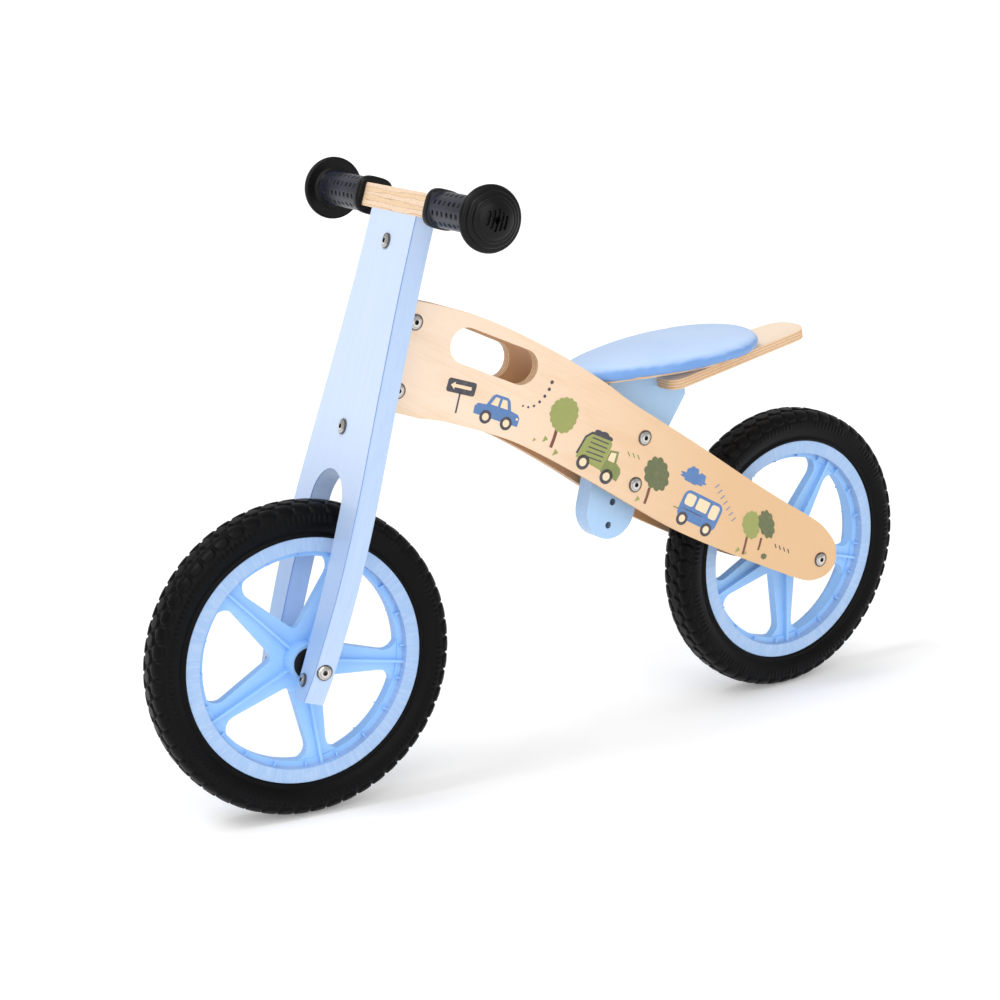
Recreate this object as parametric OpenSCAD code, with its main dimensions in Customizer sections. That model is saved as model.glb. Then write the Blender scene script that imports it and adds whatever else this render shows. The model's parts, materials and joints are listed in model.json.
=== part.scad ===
// Child's wooden balance bike. X points forward, Y to the rider's left, Z up.
// The origin lies on the ground, midway between the axles. Units are millimetres.

/* [Overall] */
// Distance between the two axles
wheelbase = 568; // [470:1:690]
// Outer radius of both tyres
wheel_r = 142; // [118:1:172]
// Backward lean of the fork in degrees
head_tilt = 17.4; // [12:0.1:22]
// Steering angle at rest in degrees, positive to the left
steer_rest = -9; // [-20:1:20]

/* [Side panels] */
// Thickness of each plywood side panel
panel_t = 9; // [6:0.5:12]
// Angle in degrees by which each panel opens outward to the rear
panel_splay = 5.75; // [5:0.05:7]
// Gap between the panels at the nose bolts
nose_gap = 6.6; // [6:0.1:12]
// Height of the nose of the panels along the fork
nose_h = 100; // [90:1:120]
// Gap along the fork between tyre and nose
nose_above_wheel = 88; // [80:1:110]
// Radius of the ends of the carrying handle hole
handle_r = 16.5; // [13:0.5:19]
// Spacing of the two nose bolts along the fork
nose_bolt_pitch = 62; // [50:1:70]

/* [Fork] */
// Thickness of the fork board
fork_t = 19; // [15:0.5:24]
// Length of the fork board above the nose
fork_above_nose = 70; // [60:1:90]
// Length of the fork legs below the axle
fork_foot = 30; // [24:1:40]
// Half width of the fork at its top
fork_top_half = 44.5; // [38:0.5:52]
// Half width of the fork at its widest place
fork_wide_half = 65; // [60:0.5:76]
// Half width of the fork at the axle
fork_leg_half = 56.5; // [52:0.5:66]
// Half width of the wheel slot at its arch
slot_half = 32; // [28:0.5:36]
// Gap between the tyre and the arch of the slot
arch_gap = 28; // [15:1:36]

/* [Steering head] */
// Distance from the middle of the fork board back to the pivot axis
pivot_back = 21; // [20.5:0.5:24]
// Diameter of the two pivot pins
pin_d = 8; // [6:0.5:9]
// Radial running clearance of pins and axles in their bushes
run_gap = 0.05; // [0.02:0.01:0.1]
// Wall of every bush
bush_wall = 1.5; // [1:0.1:2]
// Outer diameter of the head barrels
barrel_d = 15; // [14.5:0.5:16]
// Length of the upper barrel
upper_barrel_h = 18; // [14:1:24]
// Length of the lower barrel
lower_barrel_h = 11; // [8:1:11]

/* [Handlebar] */
// Length of the wooden bar
bar_len = 304; // [250:1:360]
// Side of the square bar
bar_side = 21; // [18:0.5:21.5]
// Length of each grip from collar to flange
grip_len = 92; // [75:1:110]
// Rubber of the grip barrel over the corners of the bar
grip_wall = 0.9; // [0.8:0.1:3]
// Diameter of the grip's end flange
flange_d = 57; // [48:1:62]
// Rubber of the square grip collar over the sides of the bar
collar_wall = 6.5; // [6:0.5:9]

/* [Wheels] */
// Height of the tyre above the rim flanges
tyre_h = 31; // [26:1:40]
// Width of the tyre
tyre_w = 38; // [34:1:44]
// Width over the rim flanges
rim_w = 29; // [26:0.5:32]
// Width of the wheel hub
hub_w = 44; // [40:1:46]
// Outer radius of the hub
hub_r = 17; // [14:0.5:20]
// Diameter of the axles
axle_d = 8; // [6:0.5:10]
// Number of spokes
spokes = 5; // [4:1:6]
// Width of a spoke
spoke_w = 15; // [11:0.5:18]

/* [Seat] */
// Thickness of the seat post board
post_t = 18; // [14:0.5:22]
// Width of the straight part of the seat post
post_w = 58; // [50:1:66]
// Backward lean of the seat post in degrees
post_tilt = 13.4; // [10:0.1:16]
// Spacing of the five height holes in the post
hole_pitch = 22.5; // [20:0.5:24]
// Length of the seat pad
pad_len = 230; // [200:1:270]
// Width of the seat pad
pad_w = 115; // [100:1:140]
// Thickness of the seat pad with its base board
pad_t = 17.5; // [14:0.5:28]
// Thickness of the board inside the seat pad
base_t = 6; // [5:0.5:8]
// Thickness of the tail board
tail_t = 9.5; // [8:0.5:14]
// Length of the tail board
tail_len = 185; // [175:1:220]

/* [Fasteners] */
// Shank diameter of the frame bolts
bolt_d = 6; // [5:0.1:6.2]
// Head diameter of the frame bolts
head_d = 14; // [12:0.5:15]
// Height of the bolt heads
head_h = 3.2; // [2.5:0.1:4]
// Clearance all round a bolt or screw in its hole
hole_gap = 0.3; // [0.2:0.05:0.4]

/* [Hidden] */
$fn = 64;
tiny = 0.01;
bite = 0.5;            // depth that a shank runs into its own head
fit = 0.1;             // gap between pieces fixed to each other
move_gap = 1;          // end gap between pieces that turn past each other
seat_gap = 0.4;        // gap between the side panels and the seat pad
spot_depth = 0.8;      // seats cut square for bolt heads in the splayed panels
steel = [0.72, 0.73, 0.75];
sky = [0.68, 0.82, 0.96];
birch = [0.93, 0.78, 0.60];
black = [0.06, 0.06, 0.07];
nylon = [0.12, 0.12, 0.13];

rim_r = wheel_r - tyre_h;
post_hole_d = bolt_d + 2 * hole_gap;
grip_d = bar_side * sqrt(2) + 2 * grip_wall;
collar_side = bar_side + 2 * collar_wall;
bush_r = pin_d / 2 + run_gap + bush_wall;

// Distances along the fork from the front axle
nose_bottom = wheel_r + nose_above_wheel;
nose_top = nose_bottom + nose_h;
nose_mid = (nose_bottom + nose_top) / 2;
fork_top = nose_top + fork_above_nose;
slot_top = wheel_r + arch_gap;
nose_front_d = -17;    // front edge of the nose behind the middle of the fork board
nose_bolt_d = -28;
upper_bolt_s = nose_top + 44;
lower_bolt_s = nose_bottom - 22;
leg_bolt_s = -12;
leg_bolt_y = fork_leg_half - 17.5;

// Points in the side view, [x, z]
front_axle_at = [wheelbase / 2, wheel_r];
rear_axle_at = [-wheelbase / 2, wheel_r];
function head_at(s, d) = front_axle_at
    + d * [cos(head_tilt), sin(head_tilt)] + s * [-sin(head_tilt), cos(head_tilt)];
nose_at = head_at(nose_mid, nose_bolt_d);
spine = nose_at - rear_axle_at;
spine_n = [-spine.y, spine.x] / norm(spine);
function spine_at(t, h) = rear_axle_at + t * spine + h * spine_n;
function inner_y(x) = nose_gap / 2 + (nose_at.x - x) * tan(panel_splay);
function outer_y(x) = inner_y(x) + panel_t / cos(panel_splay);
bar_at = [fork_t / 2 - bar_side / 2, fork_top + bar_side / 2];
collar_y = bar_len / 2 - grip_len + 6;
post_at = spine_at(0.4478, -41.8);
post_axis = [-sin(post_tilt), cos(post_tilt)];
hole_first = -15.5;    // lowest height hole, from the centre of the post's round foot
function post_hole(k) = post_at + (hole_first + k * hole_pitch) * post_axis;
seat_tilt = 3.5;
seat_at = post_at + 142 * post_axis - 24.3 * [cos(post_tilt), sin(post_tilt)];
seat_shift = -5;     // middle of the pad behind the seat reference
pad_taper = 0.28;      // how much narrower the front of the pad is than its middle
tail_tilt = 8.5;
tail_drop = 1.5;       // gap between the tail board and the rear edge of the pad
tail_at = seat_at + (pad_len / 2 - seat_shift) * [-cos(seat_tilt), sin(seat_tilt)] - [0, tail_drop];
tail_over = 62;        // tail board behind the pad

// Curve through points, with its end points kept
function blend4(a, b, c, d, t) = (2 * b + (c - a) * t + (2 * a - 5 * b + 4 * c - d) * t * t
    + (3 * b - a - 3 * c + d) * t * t * t) / 2;
function curve(p, n = 5) = [for (i = [0 : len(p) - 2], k = [0 : n - 1])
    blend4(p[max(i - 1, 0)], p[i], p[i + 1], p[min(i + 2, len(p) - 1)], k / n), p[len(p) - 1]];

// Outline with each corner rounded to its own radius
function unit(v) = v / norm(v);
function corner(a, b, c, r, n) = r == 0 ? [b] :
    let (u = unit(a - b), v = unit(c - b), half = acos(u * v) / 2,
         o = b + unit(u + v) * r / sin(half), p = b + u * r / tan(half), q = b + v * r / tan(half),
         from = atan2(p.y - o.y, p.x - o.x),
         turn = (atan2(q.y - o.y, q.x - o.x) - from + 540) % 360 - 180)
    [for (k = [0 : n]) o + r * [cos(from + turn * k / n), sin(from + turn * k / n)]];
function rounded(p, r, n = 6) = [for (i = [0 : len(p) - 1])
    each corner(p[(i + len(p) - 1) % len(p)], p[i], p[(i + 1) % len(p)], r[i], n)];
function mirrored(p) = concat(p, [for (i = [len(p) - 1 : -1 : 0]) [-p[i].x, p[i].y]]);

module at_side(p) { translate([p.x, 0, p.y]) children(); }
module along_y(r, y0, y1) { translate([0, y0, 0]) rotate([-90, 0, 0]) cylinder(r = r, h = y1 - y0); }
module side_plate(t) { translate([0, t / 2, 0]) rotate([90, 0, 0]) linear_extrude(t) children(); }
module in_fork() { at_side(front_axle_at) rotate([0, -head_tilt, 0]) children(); }
module steered() {
    in_fork() translate([-pivot_back, 0, 0]) rotate([0, 0, steer_rest])
        translate([pivot_back, 0, 0]) children();
}
module both_sides() { children(); mirror([0, 1, 0]) children(); }

// Everything beyond the inner or outer face of the left panel
module beyond_panel(y_at_nose, reach = 1200) {
    translate([nose_at.x, y_at_nose, 0]) rotate([0, 0, -panel_splay])
        translate([-reach / 2, 0, -reach / 2]) cube([reach, reach / 2, reach]);
}
module beyond_inner() { beyond_panel(nose_gap / 2); }

// Domed bolt head with a hexagon socket, its seat at the origin, facing +Z
module bolt_head(d = head_d, h = head_h) {
    difference() {
        intersection() {
            cylinder(d = d, h = h);
            translate([0, 0, h - d]) sphere(r = d);
        }
        translate([0, 0, h - 2.2]) cylinder(d = 4.6, h = 3, $fn = 6);
        translate([0, 0, h - 0.7]) difference() { cylinder(d = d - 3, h = 1); cylinder(d = d - 6, h = 1); }
    }
}
// Bolt across both panels at a side view point
module cross_bolt(p) {
    seat = outer_y(p.x) - spot_depth;
    at_side(p) {
        along_y(bolt_d / 2, -seat - bite, seat + bite);
        both_sides() translate([0, seat, 0]) rotate([-90, 0, 0]) bolt_head();
    }
}
module cross_bolt_hole(p) {
    seat = outer_y(p.x) - spot_depth;
    at_side(p) {
        along_y(bolt_d / 2 + hole_gap, -seat - 20, seat + 20);
        both_sides() along_y(head_d / 2 + 0.6, seat, seat + 20);
    }
}

// ---- frame ----
panel_top = [[0.9705, 54.9], [0.9043, 60.8], [0.8328, 63.3], [0.758, 63.7], [0.6997, 62.9],
    [0.6106, 59.3], [0.5357, 53.8], [0.388, 47.8], [0.2535, 40.6], [0.1389, 35.7], [0.05, 33.2]];
panel_tail = [[0.0143, 29], [-0.0150, 22], [-0.0325, 11], [-0.0372, 1], [-0.0310, -9.5],
    [-0.0140, -18.5], [0.0146, -25]];
panel_under = [[0.0816, -28.5], [0.1722, -31.8], [0.2482, -34], [0.3441, -35], [0.4422, -32.2],
    [0.5791, -27.4], [0.7, -25.6], [0.7741, -28.1], [0.876, -36.6], [0.9259, -43.9]];
nose_corners = rounded([head_at(nose_bottom, -60), head_at(nose_bottom, nose_front_d),
    head_at(nose_top, nose_front_d), head_at(nose_top, -60)], [0, 9, 9, 0]);
panel_outline = concat(curve([for (p = concat(panel_top, panel_tail, panel_under)) spine_at(p.x, p.y)]),
    [for (i = [1 : len(nose_corners) - 2]) nose_corners[i]]);
handle_ends = [spine_at(0.7844, 37.3), spine_at(0.9031, 31.9)];
nose_bolts_at = [for (k = [-0.5, 0.5]) head_at(nose_mid + k * nose_bolt_pitch, nose_bolt_d)];
seat_bolts_at = [post_hole(2), post_hole(4)];

module handle_hole() {
    run = handle_ends[1] - handle_ends[0];
    from = atan2(run.y, run.x);
    side_plate(160) polygon([for (k = [0, 1], a = [90 : 10 : 270])
        handle_ends[k] + handle_r * [cos(from + a + 180 * k), sin(from + a + 180 * k)]]);
}
module left_panel() {
    difference() {
        translate([nose_at.x, nose_gap / 2, 0]) rotate([0, 0, -panel_splay])
            translate([0, panel_t, 0]) rotate([90, 0, 0]) linear_extrude(panel_t)
                polygon([for (p = panel_outline) [(p.x - nose_at.x) / cos(panel_splay), p.y]]);
        handle_hole();
        seat_frame() translate([0, 0, -seat_gap]) linear_extrude(60) polygon(pad_edge(seat_gap));
        for (p = concat(nose_bolts_at, seat_bolts_at)) cross_bolt_hole(p);
        at_side(rear_axle_at) {
            along_y(axle_d / 2 + hole_gap, 0, 200);
            along_y(head_d / 2 + 0.6, outer_y(rear_axle_at.x) - spot_depth, 200);
        }
    }
}
module side_panel_left() { color(birch) left_panel(); }
module side_panel_right() { color(birch) mirror([0, 1, 0]) left_panel(); }

module barrel(s, h) {
    translate([-pivot_back, 0, s]) difference() {
        cylinder(d = barrel_d, h = h);
        translate([0, 0, -tiny]) cylinder(r = bush_r, h = h + 2 * tiny);
    }
}
upper_barrel_s = nose_top + 2;
lower_barrel_s = nose_bottom - 2 - lower_barrel_h;
tab_back = 32;          // rear edge of the tabs behind the middle of the fork board
tab_reach = tab_back - pivot_back - bush_r - 0.45;
module head_bracket() {
    tongue = [[-62, nose_mid - 38], [-44, nose_bottom + 6], [-24, nose_bottom + 6],
        [-24, nose_top - 6], [-44, nose_top - 6], [-62, nose_mid + 38]];
    color(steel) difference() {
        union() {
            intersection() {
                in_fork() side_plate(40) polygon(rounded(tongue, [6, 4, 0, 0, 4, 6]));
                difference() {
                    translate([nose_at.x - 200, -40, 0]) cube([300, 80, 1200]);
                    both_sides() translate([0, -fit, 0]) beyond_inner();
                }
            }
            in_fork() {
                for (s = [lower_barrel_s, nose_top - 7])
                    translate([-tab_back, -1.2, s]) cube([tab_reach, 2.4, s < nose_mid ? lower_barrel_h + 9 : 27]);
                for (s = [[lower_barrel_s, lower_barrel_h], [upper_barrel_s, upper_barrel_h]])
                    translate([-tab_back, -2.5, s[0]]) cube([tab_reach, 5, s[1]]);
                barrel(lower_barrel_s, lower_barrel_h);
                barrel(upper_barrel_s, upper_barrel_h);
            }
        }
        for (p = nose_bolts_at) at_side(p) along_y(bolt_d / 2 + hole_gap, -40, 40);
    }
}
module head_bush(s, h) {
    translate([-pivot_back, 0, s]) difference() {
        cylinder(r = bush_r, h = h);
        translate([0, 0, -tiny]) cylinder(r = pin_d / 2 + run_gap, h = h + 2 * tiny);
    }
}
module head_bushes() {
    color(nylon) in_fork() {
        head_bush(lower_barrel_s, lower_barrel_h);
        head_bush(upper_barrel_s, upper_barrel_h);
    }
}
module nose_bolts() { color(steel) for (p = nose_bolts_at) cross_bolt(p); }
module seat_bolts() { color(steel) for (p = seat_bolts_at) cross_bolt(p); }

module seat_frame() { at_side(seat_at) rotate([0, seat_tilt, 0]) children(); }
module tail_frame() { at_side(tail_at) rotate([0, tail_tilt, 0]) children(); }
tail_front = tail_len - tail_over;
tail_front_half = 35;
tail_rear_half = 21;
dowel_x = tail_front - 10;
dowel_d = 6;
dowel_len = 50;
slot_deep = 23.5;
module dowel(gap = 0) {
    tail_frame() translate([dowel_x, 0, -tail_t / 2])
        along_y(dowel_d / 2 + gap, -dowel_len / 2 - gap, dowel_len / 2 + gap);
}
seat_screw_d = 4;
seat_screw_len = 34;
seat_screw_x = [36, 15];
module seat_screw_set(gap = 0) {
    seat_frame() for (x = seat_screw_x) translate([x, 0, 0]) {
        translate([0, 0, base_t - seat_screw_len]) cylinder(r = seat_screw_d / 2 + gap, h = seat_screw_len);
        translate([0, 0, base_t - seat_screw_d / 2 - tiny])
            cylinder(r1 = seat_screw_d / 2 + gap, r2 = seat_screw_d + gap, h = seat_screw_d / 2 + tiny);
    }
}
module seat_post() {
    half = post_w / 2;
    foot = [for (k = [0 : 16]) half * [-cos(180 * k / 16), -sin(180 * k / 16)]];
    front = [[half, 60], [half + 1, 110], [half + 5, 170]];
    rear = curve([[-half - 17, 127], [-half - 30, 125.5], [-half - 35, 119], [-half - 33.5, 112],
        [-half - 21, 80], [-half - 8, 46], [-half, 20]]);
    color(sky) difference() {
        at_side(post_at) rotate([0, -post_tilt, 0]) side_plate(post_t)
            polygon(concat(foot, front, [[-half - 17, 170]], rear));
        seat_frame() translate([-200, -50, -fit]) cube([400, 100, 200]);
        for (k = [0 : 4]) at_side(post_hole(k)) along_y(post_hole_d / 2, -30, 30);
        seat_screw_set(fit);
        dowel(fit);
    }
}
module seat_spacers() {
    color(black) for (p = seat_bolts_at) both_sides() difference() {
        at_side(p) along_y(8, post_t / 2, outer_y(p.x));
        at_side(p) along_y(bolt_d / 2 + hole_gap, 0, 100);
        beyond_inner();
    }
}
function pad_edge(grow) = [for (a = [0 : 7.5 : 359]) [seat_shift + (pad_len / 2 + grow) * cos(a),
    (pad_w / 2 + grow) * sin(a) * (1 - pad_taper * cos(a))]];
base_inset = 6;
module seat_base() {
    color(birch) difference() {
        seat_frame() linear_extrude(base_t) polygon(pad_edge(-base_inset));
        seat_screw_set(fit);
        tail_screw_set(fit);
    }
}
module seat_pad() {
    steps = [[0, -3, 0.15], [0.15, 0, 0.45], [0.6, -3.5, 0.22], [0.82, -9, 0.18]];
    color(sky) difference() {
        seat_frame() for (s = steps) translate([0, 0, s[0] * pad_t])
            linear_extrude(s[2] * pad_t + tiny) polygon(pad_edge(s[1]));
        seat_frame() translate([0, 0, -tiny]) linear_extrude(base_t + fit + tiny)
            polygon(pad_edge(fit - base_inset));
    }
}
module seat_screws() { color(steel) seat_screw_set(); }
tail_screw_x = 32;
tail_screw_y = 11;
tail_screw_len = 18;
module tail_screw_set(gap = 0) {
    tail_frame() both_sides() translate([tail_screw_x, tail_screw_y, -tail_t]) {
        cylinder(r = seat_screw_d / 2 + gap, h = tail_screw_len);
        translate([0, 0, -2]) cylinder(d = 2 * seat_screw_d, h = 2);
    }
}
module tail_board() {
    color(birch) difference() {
        tail_frame() translate([0, 0, -tail_t]) linear_extrude(tail_t) difference() {
            polygon(rounded([[tail_front, tail_front_half], [tail_front, -tail_front_half],
                [-tail_over, -tail_rear_half], [-tail_over, tail_rear_half]], [12, 12, 19, 19], 8));
            translate([tail_front - slot_deep, -post_t / 2 - fit]) square([100, post_t + 2 * fit]);
        }
        dowel(fit);
        tail_screw_set(fit);
    }
}
module tail_dowel() { color(birch) dowel(); }
module tail_screws() { color(steel) tail_screw_set(); }

// Axle between two faces, with tapped ends for the cap screws
cap_shank_d = 5;
cap_shank_len = 12;
module axle(half) {
    difference() {
        along_y(axle_d / 2, -half, half);
        both_sides() along_y(cap_shank_d / 2 + tiny, half - cap_shank_len - 1, half + 1);
    }
}
module axle_caps(half) {
    both_sides() {
        translate([0, half, 0]) rotate([-90, 0, 0]) bolt_head();
        along_y(cap_shank_d / 2, half - cap_shank_len, half + bite);
    }
}
bush_flange = 1.5;
spacer_from = hub_w / 2 + bush_flange + 0.5;
rear_half = outer_y(rear_axle_at.x) - spot_depth;
module rear_axle() { color(steel) at_side(rear_axle_at) axle(rear_half); }
module rear_axle_caps() { color(steel) at_side(rear_axle_at) axle_caps(rear_half); }
module rear_spacers() {
    color(black) both_sides() difference() {
        at_side(rear_axle_at) along_y(8, spacer_from, rear_half);
        at_side(rear_axle_at) along_y(axle_d / 2 + fit, 0, 100);
        beyond_inner();
    }
}

// ---- fork ----
slot_low = slot_half - 4;
function above_wheel(f) = wheel_r + f * (fork_top - wheel_r);
fork_edge = curve([[fork_leg_half - 7.5, -fork_foot], [fork_leg_half, 0],
    [fork_wide_half - 1.6, 0.41 * wheel_r], [fork_wide_half, 0.72 * wheel_r],
    [fork_wide_half - 2, above_wheel(0.04)], [fork_wide_half - 10.5, above_wheel(0.38)],
    [fork_top_half + 2.5, above_wheel(0.73)], [fork_top_half, fork_top]]);
slot_edge = curve([[slot_low, -fork_foot], [slot_half - 1, 0], [slot_half + 3, 0.56 * wheel_r],
    [slot_half, slot_top - slot_half]]);
slot_arch = [for (a = [10 : 10 : 90]) [0, slot_top - slot_half] + slot_half * [cos(a), sin(a)]];
module bolt_x(s, y, r, x0, x1) { translate([x0, y, s]) rotate([0, 90, 0]) cylinder(r = r, h = x1 - x0); }
module fork_board() {
    color(sky) steered() difference() {
        rotate([90, 0, 90]) translate([0, 0, -fork_t / 2]) linear_extrude(fork_t) difference() {
            polygon(mirrored(fork_edge));
            polygon(mirrored(concat([[slot_low, -fork_foot - 5]], slot_edge, slot_arch)));
        }
        for (s = [lower_bolt_s, upper_bolt_s]) bolt_x(s, 0, bolt_d / 2 + hole_gap, -30, 30);
        both_sides() bolt_x(leg_bolt_s, leg_bolt_y, leg_bolt_d / 2 + hole_gap, -30, 30);
        along_y(axle_d / 2 + hole_gap, -200, 200);
        along_y(head_d / 2 + 0.6, fork_cap_y, 200);
        mirror([0, 1, 0]) along_y(head_d / 2 + 0.6, fork_cap_y, 200);
        bar_screw_set(fit);
    }
}
fork_cap_y = fork_leg_half - 1;
leg_bolt_d = 5;
bar_screw_d = 5;
bar_screw_len = 70;
bar_screw_y = 26;
module bar_screw_set(gap = 0) {
    both_sides() translate([bar_at.x, bar_screw_y, fork_top + bar_side - bar_screw_len]) {
        cylinder(r = bar_screw_d / 2 + gap, h = bar_screw_len - 2);
        translate([0, 0, bar_screw_len - 5]) cylinder(r = bar_screw_d + gap, h = 3);
    }
}
module bar_screws() { color(steel) steered() bar_screw_set(); }
module handlebar() {
    color(birch) steered() difference() {
        translate([bar_at.x, 0, bar_at.y]) cube([bar_side, bar_len, bar_side], center = true);
        bar_screw_set(fit);
        both_sides() grip_screw(fit);
    }
}
grip_end = bar_len / 2 + 4;
module grip_screw(gap = 0) {
    translate([bar_at.x, 0, bar_at.y]) {
        along_y(2 + gap, bar_len / 2 - 26 - gap, grip_end + 8);
        along_y(3.5 + gap, grip_end + 5, grip_end + 8);
    }
}
module left_grip() {
    rings = [[flange_d / 2, 0], [flange_d / 2 - 4.5, 4.5], [flange_d / 2 - 9, 7.5], [flange_d / 2 - 13, 10.5]];
    difference() {
        translate([bar_at.x, 0, bar_at.y]) {
            along_y(grip_d / 2, collar_y, grip_end + 1);
            translate([0, collar_y, 0]) rotate([-90, 0, 0]) linear_extrude(9)
                polygon(rounded(collar_side / 2 * [[1, 1], [-1, 1], [-1, -1], [1, -1]], [9, 9, 9, 9]));
            for (r = rings) translate([0, grip_end + r[1] - 0.5, 0]) rotate([-90, 0, 0])
                cylinder(r1 = r[0], r2 = r[0] - 1.2, h = 5);
        }
        translate([bar_at.x, 0, bar_at.y]) {
            translate([0, collar_y + bar_len / 2, 0]) cube([bar_side + 2 * fit, bar_len, bar_side + 2 * fit], true);
            along_y(2.3, 0, 300);
            along_y(4, grip_end + 5, 300);
        }
    }
    difference() {
        translate([bar_at.x, 0, bar_at.y]) along_y(grip_d / 2 - 0.2, bar_len / 2 + fit, grip_end + 1);
        translate([bar_at.x, 0, bar_at.y]) along_y(2.3, 0, 300);
    }
}
module grip_left() { color(black) steered() left_grip(); }
module grip_right() { color(black) steered() mirror([0, 1, 0]) left_grip(); }
module grip_screws() { color(steel) steered() both_sides() grip_screw(); }
module fork_bolts() {
    color(steel) steered() for (s = [lower_bolt_s, upper_bolt_s]) {
        bolt_x(s, 0, bolt_d / 2, -fork_t / 2 - 5.5, fork_t / 2 + bite);
        translate([fork_t / 2, 0, s]) rotate([0, 90, 0]) bolt_head();
    }
}
module leg_bolts() {
    color(steel) steered() both_sides() {
        bolt_x(leg_bolt_s, leg_bolt_y, leg_bolt_d / 2, -fork_t / 2, fork_t / 2 + bite);
        translate([fork_t / 2, leg_bolt_y, leg_bolt_s]) rotate([0, 90, 0]) bolt_head(12, 3);
    }
}
knuckle_r = 6.8;
knuckle_half = 9;       // half width of the block against the fork board
pin_deep = 15;         // depth of the upper pin in its knuckle
upper_knuckle_s = upper_barrel_s + upper_barrel_h + move_gap;
lower_knuckle_s = lower_barrel_s - move_gap;
lower_knuckle_h = 17;
upper_knuckle_h = upper_bolt_s + 11 - upper_knuckle_s;
module knuckle(s, h, bore_from, bore_to, bolt_s) {
    difference() {
        union() {
            translate([-pivot_back, 0, s]) cylinder(r = knuckle_r, h = h);
            translate([-pivot_back, -knuckle_r, s])
                cube([pivot_back - fork_t / 2, 2 * knuckle_r, h]);
            translate([-pivot_back + 4, -knuckle_half, s])
                cube([pivot_back - 4 - fork_t / 2, 2 * knuckle_half, h]);
        }
        translate([-pivot_back, 0, bore_from]) cylinder(d = pin_d, h = bore_to - bore_from);
        bolt_x(bolt_s, 0, bolt_d / 2, -fork_t / 2 - 6, 0);
    }
}
module upper_knuckle() {
    color(steel) steered() knuckle(upper_knuckle_s, upper_knuckle_h, upper_knuckle_s - 1,
        upper_knuckle_s + pin_deep, upper_bolt_s);
}
module lower_knuckle() {
    color(steel) steered() knuckle(lower_knuckle_s - lower_knuckle_h, lower_knuckle_h,
        lower_knuckle_s - lower_knuckle_h - 1, lower_knuckle_s + 1, lower_bolt_s);
}
module pivot_pins() {
    color(steel) steered() translate([-pivot_back, 0, 0]) {
        translate([0, 0, upper_barrel_s]) cylinder(d = pin_d, h = upper_barrel_h + move_gap + pin_deep);
        translate([0, 0, lower_knuckle_s - lower_knuckle_h])
            cylinder(d = pin_d, h = lower_knuckle_h + move_gap + lower_barrel_h);
    }
}
module front_axle() { color(steel) steered() axle(fork_cap_y); }
module front_axle_caps() { color(steel) steered() axle_caps(fork_cap_y); }
module front_spacers() {
    color(black) steered() both_sides() difference() {
        along_y(6, spacer_from, slot_half - 1.7);
        along_y(axle_d / 2 + fit, 0, 100);
    }
}

// ---- wheels, axle along Y through the origin ----
rim_lip = 3;
seat_r = rim_r - 7;
ring_r = rim_r - 12.5;
window_r = ring_r - 4.5;
spoke_t = 9;
rib_t = 2.4;
rib_up = 5.5;           // height of the ribs above the spokes
ledge_ribs = 4 * spokes;
tyre_gap = 0.15;
module ring(profile) { rotate([90, 0, 0]) rotate_extrude($fn = 96) polygon(profile); }
function symmetric(p) = concat(p, [for (i = [len(p) - 1 : -1 : 0]) [p[i].x, -p[i].y]]);
module wheel_rim() {
    half = rim_w / 2;
    step = 180 / spokes;
    open = step - asin(spoke_w / 2 / window_r);
    arc = [for (k = [-3 : 3]) window_r * [cos(open * k / 3), sin(open * k / 3)]];
    window = concat([[hub_r + 9, 0]], arc);
    difference() {
        union() {
            ring(symmetric([[ring_r, half], [rim_r, half], [rim_r, half - rim_lip], [seat_r, half - rim_lip]]));
            ring(symmetric([[window_r - 1, spoke_t / 2 + 1.5], [ring_r + 0.5, spoke_t / 2 + 1.5]]));
            side_plate(spoke_t) difference() {
                circle(r = window_r + 0.5);
                for (k = [0 : spokes - 1]) rotate((k + 0.5) * 360 / spokes)
                    polygon(rounded(window, [6, 12, 0, 0, 0, 0, 0, 12]));
            }
            for (k = [0 : spokes - 1]) rotate([0, -k * 360 / spokes, 0])
                translate([hub_r - 2, -spoke_t / 2 - rib_up, -rib_t / 2])
                    cube([ring_r - hub_r + 3, spoke_t + 2 * rib_up, rib_t]);
            for (k = [0 : ledge_ribs - 1]) rotate([0, (k + 0.5) * 360 / ledge_ribs, 0])
                translate([window_r, -spoke_t / 2 - rib_up, -0.7])
                    cube([ring_r - window_r + 1, spoke_t + 2 * rib_up, 1.4]);
            along_y(hub_r, -hub_w / 2, hub_w / 2);
        }
        along_y(axle_d / 2 + run_gap + bush_wall + 1.5, -60, 60);
    }
}
module wheel_tyre() {
    half = tyre_w / 2;
    round_r = 13;
    shoulder = [for (a = [0 : 10 : 90]) [wheel_r - round_r + round_r * sin(a),
        half - round_r + round_r * cos(a)]];
    ring(symmetric(concat([[seat_r + tyre_gap, rim_w / 2 - rim_lip - tyre_gap],
        [rim_r + tyre_gap, rim_w / 2 - rim_lip - tyre_gap], [rim_r + tyre_gap, rim_w / 2],
        [rim_r + 8, half]], shoulder)));
}
module wheel_bushes() {
    outer = axle_d / 2 + run_gap + bush_wall + 1.5;
    both_sides() difference() {
        union() {
            along_y(outer, hub_w / 2 - 14, hub_w / 2 + tiny);
            along_y(hub_r - 3, hub_w / 2, hub_w / 2 + bush_flange);
        }
        along_y(axle_d / 2 + run_gap, 0, 60);
    }
}
front_turn = 43;
rear_turn = -52;
module front_rim() { color(sky) steered() rotate([0, front_turn, 0]) wheel_rim(); }
module front_tyre() { color(black) steered() wheel_tyre(); }
module front_bushes() { color(nylon) steered() wheel_bushes(); }
module rear_rim() { color(sky) at_side(rear_axle_at) rotate([0, rear_turn, 0]) wheel_rim(); }
module rear_tyre() { color(black) at_side(rear_axle_at) wheel_tyre(); }
module rear_bushes() { color(nylon) at_side(rear_axle_at) wheel_bushes(); }

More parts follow.
